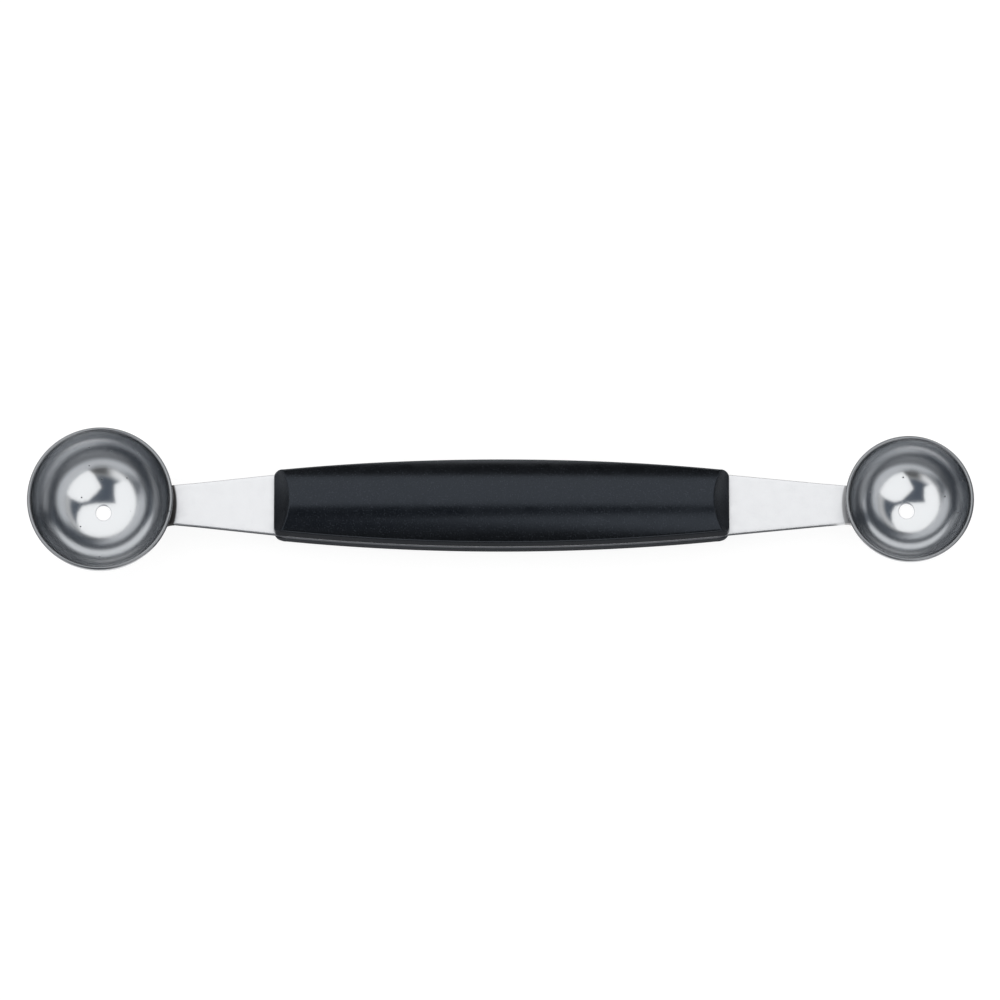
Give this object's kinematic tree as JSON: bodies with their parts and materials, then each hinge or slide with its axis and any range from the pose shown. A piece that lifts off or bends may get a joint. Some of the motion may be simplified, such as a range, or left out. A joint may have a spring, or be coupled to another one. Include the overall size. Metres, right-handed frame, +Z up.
{
  "type": "melon baller",
  "caption": "Double-ended melon baller: hemispherical steel bowls with drain holes on a flat tapered tang, gripped by a black crowned handle of moulded scales.",
  "frame": {"origin": "under the middle of the tool's length and width, level with the foot of the large bowl, which is the ring around its drain hole", "axes": "+X along the tool from the large bowl to the small bowl, +Y across it, +Z up, the way both bowls open"},
  "size_m": [0.1724, 0.0266, 0.0143],
  "materials": {
    "bowl_steel": "polished pressed stainless steel",
    "tang_steel": "satin stamped stainless steel",
    "handle_plastic": "matte black moulded plastic with a fine grain"
  },
  "bodies": {
    "root": {"bowl_large": "bowl_steel", "bowl_small": "bowl_steel", "tang": "tang_steel", "scale_upper": "handle_plastic", "scale_lower": "handle_plastic"}
  },
  "joints": []
}
